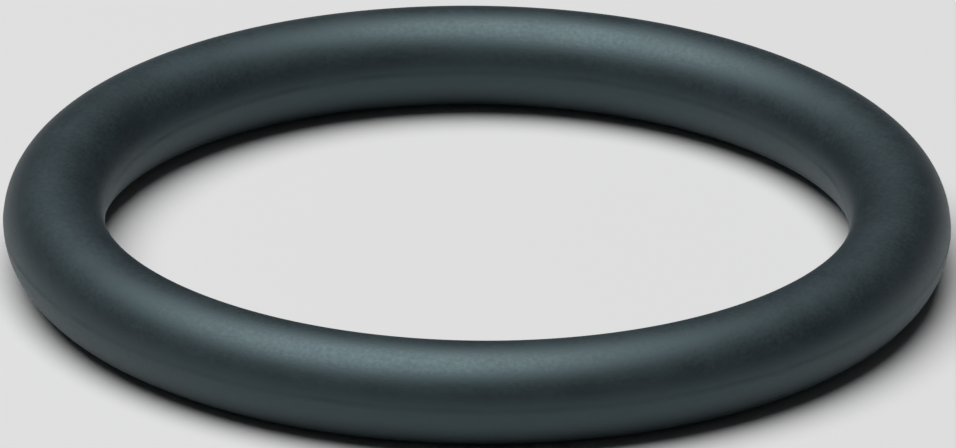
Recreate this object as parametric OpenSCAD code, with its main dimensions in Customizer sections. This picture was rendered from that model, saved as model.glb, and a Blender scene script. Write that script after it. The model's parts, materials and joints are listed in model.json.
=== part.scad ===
// Rubber o-ring: a round section moulded in one piece, with the line of its two-part mould
// left round the inside and the outside as a low, trimmed ridge of flash.
// The origin is the ring's centre, in the plane where the mould parts, and +Z is its axis.

/* [Ring] */
// Inside diameter of the free ring, without the flash
inside_d = 22; // [8:0.5:60]
// Diameter of the round section
section_d = 3; // [1.5:0.1:6]

/* [Parting line] */
// How far the trimmed flash stands out from the round section
flash_h = 0.025; // [0.01:0.005:0.1]
// Width of the flat crest that trimming leaves on the flash
flash_crest_w = 0.06; // [0.04:0.01:0.2]
// Width of the slope on each side of the crest
flash_flank_w = 0.08; // [0.02:0.01:0.15]

/* [Hidden] */

$fn = 180;

section_r = section_d / 2;
// The section's centre runs round the axis at this radius
ring_r = inside_d / 2 + section_r;

// The flash, measured outward from the section's centre
crest_x = section_r + flash_h;
crest_half_w = flash_crest_w / 2;
foot_half_w = crest_half_w + flash_flank_w;
// Depth of the foot below the round surface, so that the slopes run into it
foot_sink = 0.01;
foot_x = sqrt(section_r ^ 2 - foot_half_w ^ 2) - foot_sink;

// The flash on one side of the section: a flat crest with a slope above and below it
module flash_profile() {
    polygon([
        [foot_x, -foot_half_w],
        [crest_x, -crest_half_w],
        [crest_x, crest_half_w],
        [foot_x, foot_half_w]
    ]);
}

// The mould's cavity is a half round in each plate. The plates meet at the section's
// outmost and inmost points, so the flash stands at both.
module ring_section() {
    circle(r = section_r);
    for (turn = [0, 180])
        rotate(turn) flash_profile();
}

module o_ring() {
    color("#2d3436")
    rotate_extrude()
    translate([ring_r, 0])
    ring_section();
}

o_ring();
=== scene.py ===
"""A moulded rubber o-ring, lying on a pale studio floor under one overhead softbox.

The ring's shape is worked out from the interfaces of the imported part: its bore, its rim and the two
flat faces that it seals against.
"""

import json
import math

import bpy
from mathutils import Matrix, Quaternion, Vector


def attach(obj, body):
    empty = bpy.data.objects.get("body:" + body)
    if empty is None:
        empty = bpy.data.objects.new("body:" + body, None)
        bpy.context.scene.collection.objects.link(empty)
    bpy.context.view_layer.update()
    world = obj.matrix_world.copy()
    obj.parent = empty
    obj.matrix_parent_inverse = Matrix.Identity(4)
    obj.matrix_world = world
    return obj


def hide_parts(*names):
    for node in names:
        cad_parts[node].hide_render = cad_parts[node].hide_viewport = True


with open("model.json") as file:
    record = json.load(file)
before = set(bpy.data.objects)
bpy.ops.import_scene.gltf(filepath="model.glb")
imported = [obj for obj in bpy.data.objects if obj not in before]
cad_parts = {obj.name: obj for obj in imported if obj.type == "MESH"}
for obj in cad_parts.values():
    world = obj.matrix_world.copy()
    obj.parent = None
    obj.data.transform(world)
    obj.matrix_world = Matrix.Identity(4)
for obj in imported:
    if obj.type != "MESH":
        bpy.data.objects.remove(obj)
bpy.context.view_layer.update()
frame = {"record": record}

bl_info = {
    "name": "Rubber o-ring",
    "version": (1, 0, 0),
    "blender": (4, 5, 0),
    "location": "View3D > Sidebar > O-ring",
    "description": "Moulds a rubber o-ring and sets it on a studio floor",
    "category": "Add Mesh",
}

MM = 0.001

# The ring's own sizes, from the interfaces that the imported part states
MOUNTS = {m["name"]: m for m in frame["record"]["mounts"]}
BORE_R = MOUNTS["shaft_bore"]["dims"]["r_mm"] * MM
RIM_R = MOUNTS["gland_rim"]["dims"]["r_mm"] * MM
CREST_W = MOUNTS["gland_rim"]["dims"]["length_mm"] * MM
TOP_Z = MOUNTS["upper_face_seal"]["pos_m"][2]
BOTTOM_Z = MOUNTS["lower_face_seal"]["pos_m"][2]
SECTION_D = TOP_Z - BOTTOM_Z
FLASH_H = (RIM_R - BORE_R - SECTION_D) / 2
INSIDE_D = 2 * (BORE_R + FLASH_H)


def linear(hex_colour):
    """Turns an sRGB hex colour into linear red, green and blue."""
    channels = [int(hex_colour[i : i + 2], 16) / 255 for i in (1, 3, 5)]
    return tuple(c / 12.92 if c <= 0.04045 else ((c + 0.055) / 1.055) ** 2.4 for c in channels)


def add(tree, kind, inputs=(), **settings):
    """Adds a node with its settings.

    Inputs go in order, or by name or number in a dictionary. Each is a plain value, a socket to link
    from, or a node to link from at its first output.
    """
    node = tree.nodes.new(kind)
    for name, value in settings.items():
        setattr(node, name, value)
    for key, value in inputs.items() if isinstance(inputs, dict) else enumerate(inputs):
        if isinstance(value, bpy.types.Node):
            value = value.outputs[0]
        if isinstance(value, bpy.types.NodeSocket):
            tree.links.new(value, node.inputs[key])
        else:
            node.inputs[key].default_value = value
    return node


class RingSizes(bpy.types.PropertyGroup):
    """The sizes of the moulded ring"""

    inside_d: bpy.props.FloatProperty(
        name="Inside diameter",
        description="Across the free ring's hole, without the flash",
        default=INSIDE_D,
        min=4 * MM,
        unit="LENGTH",
        precision=5,
    )
    section_d: bpy.props.FloatProperty(
        name="Section diameter",
        description="Across the round section",
        default=SECTION_D,
        min=0.5 * MM,
        unit="LENGTH",
        precision=5,
    )
    flash_h: bpy.props.FloatProperty(
        name="Flash height",
        description="How far the trimmed flash stands out from the round section, at most",
        default=FLASH_H,
        min=0,
        unit="LENGTH",
        precision=6,
    )
    crest_w: bpy.props.FloatProperty(
        name="Flash crest width",
        description="Width of the flat crest that trimming leaves on the flash",
        default=CREST_W,
        min=0,
        unit="LENGTH",
        precision=6,
    )
    slope_w: bpy.props.FloatProperty(
        name="Flash slope width",
        description="Width of the slope on each side of the crest",
        default=0.1 * MM,
        min=0.01 * MM,
        unit="LENGTH",
        precision=6,
    )
    trim_unevenness: bpy.props.FloatProperty(
        name="Trim unevenness",
        description="Share of the flash height that trimming takes away at the lowest places",
        default=0.85,
        min=0,
        max=1,
        subtype="FACTOR",
    )
    trim_length: bpy.props.FloatProperty(
        name="Trim length",
        description="Distance along the ring over which the trimming changes",
        default=2.5 * MM,
        min=0.2 * MM,
        unit="LENGTH",
        precision=5,
    )
    trim_seed: bpy.props.IntProperty(
        name="Trim seed",
        description="Picks another uneven trimming",
        default=7,
    )
    steps_round: bpy.props.IntProperty(
        name="Steps round the ring",
        description="Number of sections along the ring",
        default=480,
        min=32,
    )
    steps_section: bpy.props.IntProperty(
        name="Steps round the section",
        description="Number of points in each section",
        default=160,
        min=32,
    )


class RubberFinish(bpy.types.PropertyGroup):
    """The colour and surface of the rubber"""

    colour: bpy.props.FloatVectorProperty(
        name="Rubber colour",
        description="Colour of the carbon-filled rubber",
        default=linear("#060A12"),
        min=0,
        max=1,
        subtype="COLOR",
    )
    bloom_colour: bpy.props.FloatVectorProperty(
        name="Bloom colour",
        description="Colour where wax has come to the surface",
        default=linear("#12181E"),
        min=0,
        max=1,
        subtype="COLOR",
    )
    roughness: bpy.props.FloatProperty(
        name="Roughness",
        description="Roughness of the moulded skin",
        default=0.53,
        min=0,
        max=1,
        subtype="FACTOR",
    )
    grain: bpy.props.FloatProperty(
        name="Grain size",
        description="Size of the pits and grains that the mould's face leaves",
        default=0.13 * MM,
        min=0.01 * MM,
        unit="LENGTH",
        precision=5,
    )


class StudioSet(bpy.types.PropertyGroup):
    """The floor, the softbox and the light of the room"""

    floor_colour: bpy.props.FloatVectorProperty(
        name="Floor colour",
        description="Colour of the floor's matt paper",
        default=linear("#CDCDCD"),
        min=0,
        max=1,
        subtype="COLOR",
    )
    lamp_size: bpy.props.FloatProperty(
        name="Softbox size",
        description="Across the round softbox",
        default=0.7,
        min=0.01,
        unit="LENGTH",
    )
    lamp_distance: bpy.props.FloatProperty(
        name="Softbox distance",
        description="From the ring to the softbox",
        default=0.6,
        min=0.05,
        unit="LENGTH",
    )
    lamp_tilt: bpy.props.FloatProperty(
        name="Softbox tilt",
        description="How far to the left of straight overhead the softbox hangs",
        default=math.radians(11),
        subtype="ANGLE",
    )
    lamp_level: bpy.props.FloatProperty(
        name="Softbox level",
        description="Light on a face turned to the softbox. At 1 its colour shows as it is written",
        default=1.2,
        min=0,
    )
    fill: bpy.props.FloatProperty(
        name="Room light",
        description="Strength of the even light from the room around",
        default=0.03,
        min=0,
    )


def ring_tree():
    """Builds the Geometry Nodes tree that sweeps the section round the ring and raises the flash.

    Returns the tree and its inputs by name.
    """
    tree = bpy.data.node_groups.new("moulded_ring", "GeometryNodeTree")
    sockets = {}
    for name, kind in (
        ("Inside Diameter", "NodeSocketFloat"),
        ("Section Diameter", "NodeSocketFloat"),
        ("Flash Height", "NodeSocketFloat"),
        ("Flash Crest Width", "NodeSocketFloat"),
        ("Flash Slope Width", "NodeSocketFloat"),
        ("Trim Unevenness", "NodeSocketFloat"),
        ("Trim Length", "NodeSocketFloat"),
        ("Trim Seed", "NodeSocketInt"),
        ("Steps Round", "NodeSocketInt"),
        ("Steps Section", "NodeSocketInt"),
        ("Rubber", "NodeSocketMaterial"),
    ):
        sockets[name] = tree.interface.new_socket(name, in_out="INPUT", socket_type=kind)
    tree.interface.new_socket("Ring", in_out="OUTPUT", socket_type="NodeSocketGeometry")
    given = add(tree, "NodeGroupInput").outputs

    section_r = add(tree, "ShaderNodeMath", (given["Section Diameter"], 0.5), operation="MULTIPLY")
    inside_r = add(tree, "ShaderNodeMath", (given["Inside Diameter"], 0.5), operation="MULTIPLY")
    ring_r = add(tree, "ShaderNodeMath", (inside_r, section_r), operation="ADD")

    # The section's points crowd together at the two mould lines, where the flash is finer than the ring
    crowding = 0.85
    index = add(tree, "GeometryNodeInputIndex")
    share = add(tree, "ShaderNodeMath", (index, given["Steps Section"]), operation="DIVIDE")
    turn = add(tree, "ShaderNodeMath", (share, 2 * math.pi), operation="MULTIPLY")
    double_turn = add(tree, "ShaderNodeMath", (turn, 2.0), operation="MULTIPLY")
    wave = add(tree, "ShaderNodeMath", (double_turn,), operation="SINE")
    pull = add(tree, "ShaderNodeMath", (wave, crowding / 2), operation="MULTIPLY")
    angle = add(tree, "ShaderNodeMath", (turn, pull), operation="SUBTRACT")
    cosine = add(tree, "ShaderNodeMath", (angle,), operation="COSINE")
    sine = add(tree, "ShaderNodeMath", (angle,), operation="SINE")
    direction = add(tree, "ShaderNodeCombineXYZ", (cosine, sine))
    point = add(tree, "ShaderNodeVectorMath", {0: direction, "Scale": section_r}, operation="SCALE")
    circle = add(
        tree,
        "GeometryNodeCurvePrimitiveCircle",
        {"Resolution": given["Steps Section"], "Radius": section_r},
    )
    section = add(tree, "GeometryNodeSetPosition", {"Geometry": circle, "Position": point})
    path = add(
        tree,
        "GeometryNodeCurvePrimitiveCircle",
        {"Resolution": given["Steps Round"], "Radius": ring_r},
    )
    upright = add(tree, "GeometryNodeSetCurveNormal", {"Curve": path}, mode="Z_UP")
    swept = add(tree, "GeometryNodeCurveToMesh", {"Curve": upright, "Profile Curve": section})

    # The flash stands out along the ring's radius, by a height that falls to nothing down its slope
    position = add(tree, "GeometryNodeInputPosition")
    z = add(tree, "ShaderNodeSeparateXYZ", (position,)).outputs["Z"]
    height = add(tree, "ShaderNodeMath", (z,), operation="ABSOLUTE")
    level_part = add(tree, "ShaderNodeVectorMath", (position, (1, 1, 0)), operation="MULTIPLY")
    radius = add(tree, "ShaderNodeVectorMath", (level_part,), operation="LENGTH").outputs["Value"]
    outward = add(tree, "ShaderNodeVectorMath", (level_part,), operation="NORMALIZE")
    beyond = add(tree, "ShaderNodeMath", (radius, ring_r), operation="SUBTRACT")
    side = add(tree, "ShaderNodeMath", (beyond,), operation="SIGN")
    crest_edge = add(tree, "ShaderNodeMath", (given["Flash Crest Width"], 0.5), operation="MULTIPLY")
    foot = add(tree, "ShaderNodeMath", (crest_edge, given["Flash Slope Width"]), operation="ADD")
    untrimmed_height = add(
        tree,
        "ShaderNodeMapRange",
        {
            "Value": height,
            "From Min": crest_edge,
            "From Max": foot,
            "To Min": given["Flash Height"],
            "To Max": 0.0,
        },
    )

    # The trimming changes along the ring, on the inside in another way than on the outside
    along = add(tree, "ShaderNodeVectorMath", {0: outward, "Scale": ring_r}, operation="SCALE")
    pattern = add(tree, "ShaderNodeMath", (side, given["Trim Seed"]), operation="ADD")
    per_metre = add(tree, "ShaderNodeMath", (1.0, given["Trim Length"]), operation="DIVIDE")
    uneven = add(
        tree,
        "ShaderNodeTexNoise",
        {"Vector": along, "W": pattern, "Scale": per_metre, "Detail": 3.0},
        noise_dimensions="4D",
    )

    # Where the noise is under the first of these levels the flash is trimmed the most, and where it is
    # over the second the flash keeps its full height
    most_trimmed = 0.45
    untrimmed = 0.75
    least = add(tree, "ShaderNodeMath", (1.0, given["Trim Unevenness"]), operation="SUBTRACT")
    kept_share = add(
        tree,
        "ShaderNodeMapRange",
        {
            "Value": uneven,
            "From Min": most_trimmed,
            "From Max": untrimmed,
            "To Min": least,
            "To Max": 1.0,
        },
    )
    trimmed_height = add(
        tree, "ShaderNodeMath", (untrimmed_height, kept_share), operation="MULTIPLY"
    )
    amount = add(tree, "ShaderNodeMath", (trimmed_height, side), operation="MULTIPLY")
    offset = add(tree, "ShaderNodeVectorMath", {0: outward, "Scale": amount}, operation="SCALE")
    raised = add(tree, "GeometryNodeSetPosition", {"Geometry": swept, "Offset": offset})
    smooth = add(tree, "GeometryNodeSetShadeSmooth", {"Geometry": raised})
    whole = add(tree, "GeometryNodeRealizeInstances", {"Geometry": smooth})
    skinned = add(tree, "GeometryNodeSetMaterial", {"Geometry": whole, "Material": given["Rubber"]})
    add(tree, "NodeGroupOutput", {"Ring": skinned})
    return tree, sockets


def moulded_rubber(finish, sizes):
    """Nitrile rubber filled with carbon black, pressed in a turned and lightly blasted steel mould.

    The carbon makes it near black and a little cool. The mould's blasted face leaves a fine even grain
    and a satin skin, and its turning leaves faint lines that run round the ring.
    """
    material = bpy.data.materials.new("nitrile_rubber_pressed_in_turned_mould")
    material.use_nodes = True
    tree = material.node_tree
    tree.nodes.clear()

    # Distance round the section, from the outer mould line
    section_r = sizes.section_d / 2
    ring_r = (sizes.inside_d + sizes.section_d) / 2
    place = add(tree, "ShaderNodeTexCoord").outputs["Object"]
    z = add(tree, "ShaderNodeSeparateXYZ", (place,)).outputs["Z"]
    level_part = add(tree, "ShaderNodeVectorMath", (place, (1, 1, 0)), operation="MULTIPLY")
    radius = add(tree, "ShaderNodeVectorMath", (level_part,), operation="LENGTH").outputs["Value"]
    from_middle = add(tree, "ShaderNodeMath", (radius, ring_r), operation="SUBTRACT")
    angle = add(tree, "ShaderNodeMath", (z, from_middle), operation="ARCTAN2")
    across = add(tree, "ShaderNodeMath", (angle, section_r), operation="MULTIPLY")

    # Blasted grain, drawn coarser than the real pits of about 0.04 mm, which are too fine to show
    grain = add(
        tree,
        "ShaderNodeTexNoise",
        {"Vector": place, "Scale": 1 / finish.grain, "Detail": 3.0, "Roughness": 0.6},
    )

    # Turning lines: a real feed of about 0.03 mm, drawn at 0.1 mm because finer ones don't show
    line_spacing = 0.1 * MM
    lines = add(
        tree,
        "ShaderNodeTexNoise",
        {"W": across, "Scale": 1 / line_spacing, "Detail": 1.0},
        noise_dimensions="1D",
    )
    grain_height = 0.003 * MM
    line_share = 0.2
    relief = add(tree, "ShaderNodeMath", (lines, line_share, grain), operation="MULTIPLY_ADD")
    bump = add(tree, "ShaderNodeBump", {"Height": relief, "Strength": 1.0, "Distance": grain_height})

    # Wax bloom, in soft patches a few millimetres across, and more of it in the hollows of the grain
    patch_size = 2.2 * MM
    patches = add(
        tree,
        "ShaderNodeTexNoise",
        {"Vector": place, "Scale": 1 / patch_size, "Detail": 4.0, "Roughness": 0.6},
    )
    middle_height = 0.5
    hollows = add(tree, "ShaderNodeMath", (middle_height, grain), operation="SUBTRACT")
    hollow_share = 0.5
    wax = add(tree, "ShaderNodeMath", (hollows, hollow_share, patches), operation="MULTIPLY_ADD")
    bare_level = 0.35
    bloomed_level = 0.65
    bloom = add(
        tree,
        "ShaderNodeMapRange",
        {"Value": wax, "From Min": bare_level, "From Max": bloomed_level},
    )

    # The mix node's sockets for colours share their names with those for numbers, so they go by place
    factor = 0
    first_colour = 6
    second_colour = 7
    mixed_colour = 2
    skin_colour = add(
        tree,
        "ShaderNodeMix",
        {factor: bloom, first_colour: (*finish.colour, 1), second_colour: (*finish.bloom_colour, 1)},
        data_type="RGBA",
    ).outputs[mixed_colour]

    # The trimmed flash is a little duller than the moulded skin, and so are the bloom and the hollows
    cut_dullness = 0.04
    bloom_dullness = 0.04
    hollow_dullness = 0.16
    height = add(tree, "ShaderNodeMath", (z,), operation="ABSOLUTE")
    cut = add(
        tree,
        "ShaderNodeMapRange",
        {
            "Value": height,
            "From Min": sizes.crest_w / 2,
            "From Max": sizes.crest_w / 2 + sizes.slope_w,
            "To Min": cut_dullness,
            "To Max": 0.0,
        },
    )
    bloomed = add(
        tree, "ShaderNodeMath", (bloom, bloom_dullness, finish.roughness), operation="MULTIPLY_ADD"
    )
    skin = add(tree, "ShaderNodeMath", (hollows, hollow_dullness, bloomed), operation="MULTIPLY_ADD")
    roughness = add(tree, "ShaderNodeMath", (skin, cut), operation="ADD")

    # Rubber's own IOR is about 1.52. Carbon black raises it, and the rest of it, with the tint, is
    # matched to the ring's bright and slightly blue-green crest
    rubber = add(
        tree,
        "ShaderNodeBsdfPrincipled",
        {
            "Base Color": skin_colour,
            "Roughness": roughness,
            "IOR": 1.83,
            "Specular IOR Level": 0.5,
            "Specular Tint": (*linear("#D6F8FE"), 1),
            "Normal": bump,
        },
    )
    add(tree, "ShaderNodeOutputMaterial", {"Surface": rubber})
    return material


class ORING_OT_mould_ring(bpy.types.Operator):
    """Mould the rubber ring"""

    bl_idname = "oring.mould_ring"
    bl_label = "Mould ring"

    def execute(self, context):
        sizes = context.scene.oring_sizes
        tree, sockets = ring_tree()
        blank = bpy.data.objects.new("ring_blank", bpy.data.meshes.new("ring_blank"))
        context.collection.objects.link(blank)
        modifier = blank.modifiers.new("Moulded ring", "NODES")
        modifier.node_group = tree
        for name, value in (
            ("Inside Diameter", sizes.inside_d),
            ("Section Diameter", sizes.section_d),
            ("Flash Height", sizes.flash_h),
            ("Flash Crest Width", sizes.crest_w),
            ("Flash Slope Width", sizes.slope_w),
            ("Trim Unevenness", sizes.trim_unevenness),
            ("Trim Length", sizes.trim_length),
            ("Trim Seed", sizes.trim_seed),
            ("Steps Round", sizes.steps_round),
            ("Steps Section", sizes.steps_section),
            ("Rubber", moulded_rubber(context.scene.oring_finish, sizes)),
        ):
            modifier[sockets[name].identifier] = value
        shaped = blank.evaluated_get(context.evaluated_depsgraph_get())
        mesh = bpy.data.meshes.new_from_object(shaped)
        bpy.data.objects.remove(blank)
        ring = bpy.data.objects.new("moulded_ring", mesh)
        context.collection.objects.link(ring)
        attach(ring, "root")
        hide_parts("o_ring")
        return {"FINISHED"}


def paper_floor(colour):
    """Matt pale grey paper, rolled out: an even surface with no shine."""
    material = bpy.data.materials.new("matt_paper")
    material.use_nodes = True
    surface = material.node_tree.nodes["Principled BSDF"]
    surface.inputs["Base Color"].default_value = (*colour, 1)
    surface.inputs["Roughness"].default_value = 0.95
    surface.inputs["Specular IOR Level"].default_value = 0.0
    return material


class ORING_OT_set_stage(bpy.types.Operator):
    """Roll out the floor, hang the softbox and place the camera"""

    bl_idname = "oring.set_stage"
    bl_label = "Set stage"

    def execute(self, context):
        studio = context.scene.oring_studio
        scene = context.scene

        floor_reach = 2.0
        ways = ((-1, -1), (1, -1), (1, 1), (-1, 1))
        corners = [(x * floor_reach, y * floor_reach, BOTTOM_Z) for x, y in ways]
        mesh = bpy.data.meshes.new("floor")
        mesh.from_pydata(corners, [], [(0, 1, 2, 3)])
        mesh.materials.append(paper_floor(studio.floor_colour))
        floor = bpy.data.objects.new("floor", mesh)
        context.collection.objects.link(floor)

        # The light on a face turned to the softbox falls with the square of the distance to its rim. At
        # a level of 1, the power here makes that face's colour show as it is written
        towards_lamp = Vector((-math.sin(studio.lamp_tilt), 0, math.cos(studio.lamp_tilt)))
        lamp = bpy.data.lights.new("softbox", "AREA")
        lamp.shape = "DISK"
        lamp.size = studio.lamp_size
        rim_distance = math.hypot(studio.lamp_distance, studio.lamp_size / 2)
        lamp.energy = studio.lamp_level * (math.pi * rim_distance) ** 2
        softbox = bpy.data.objects.new("softbox", lamp)
        softbox.location = towards_lamp * studio.lamp_distance
        softbox.rotation_mode = "QUATERNION"
        softbox.rotation_quaternion = towards_lamp.to_track_quat("Z", "Y")
        softbox.visible_camera = False
        context.collection.objects.link(softbox)

        world = bpy.data.worlds.new("room")
        world.use_nodes = True
        room = world.node_tree.nodes["Background"].inputs
        room["Color"].default_value = (1, 1, 1, 1)
        room["Strength"].default_value = studio.fill
        scene.world = world

        # The photograph's view: with these values the ring's outline lies on the one in the photograph.
        # The radius is that of the circle along which the section's centre runs
        radii_away = 40
        elevation = math.radians(23.48)
        roll = math.radians(0.65)
        aim = Vector((0.03 * MM, 0, -0.13 * MM))
        pixels_per_radius = 422.95
        image_width = 956
        distance = radii_away * (INSIDE_D + SECTION_D) / 2
        camera = bpy.data.cameras.new("camera")
        camera.sensor_width = 36
        camera.lens = pixels_per_radius * radii_away / image_width * camera.sensor_width
        view = bpy.data.objects.new("camera", camera)
        back = Vector((0, -math.cos(elevation), math.sin(elevation)))
        view.location = back * distance
        view.rotation_mode = "QUATERNION"
        looking = (view.location - aim).to_track_quat("Z", "Y")
        view.rotation_quaternion = looking @ Quaternion((0, 0, 1), roll)
        context.collection.objects.link(view)
        scene.camera = view

        scene.view_settings.view_transform = "Standard"
        return {"FINISHED"}


class ORING_PT_panel(bpy.types.Panel):
    """The ring's sizes, its finish and the studio"""

    bl_idname = "ORING_PT_panel"
    bl_label = "Rubber o-ring"
    bl_space_type = "VIEW_3D"
    bl_region_type = "UI"
    bl_category = "O-ring"

    def draw(self, context):
        layout = self.layout
        for settings, operator in (
            (context.scene.oring_sizes, None),
            (context.scene.oring_finish, "oring.mould_ring"),
            (context.scene.oring_studio, "oring.set_stage"),
        ):
            column = layout.column(align=True)
            for name in settings.__annotations__:
                column.prop(settings, name)
            if operator:
                layout.operator(operator)


CLASSES = (
    RingSizes,
    RubberFinish,
    StudioSet,
    ORING_OT_mould_ring,
    ORING_OT_set_stage,
    ORING_PT_panel,
)


def register():
    for cls in CLASSES:
        bpy.utils.register_class(cls)
    bpy.types.Scene.oring_sizes = bpy.props.PointerProperty(type=RingSizes)
    bpy.types.Scene.oring_finish = bpy.props.PointerProperty(type=RubberFinish)
    bpy.types.Scene.oring_studio = bpy.props.PointerProperty(type=StudioSet)


def unregister():
    del bpy.types.Scene.oring_studio
    del bpy.types.Scene.oring_finish
    del bpy.types.Scene.oring_sizes
    for cls in reversed(CLASSES):
        bpy.utils.unregister_class(cls)


def main():
    register()
    bpy.ops.oring.mould_ring()
    bpy.ops.oring.set_stage()


if __name__ == "__main__":
    main()
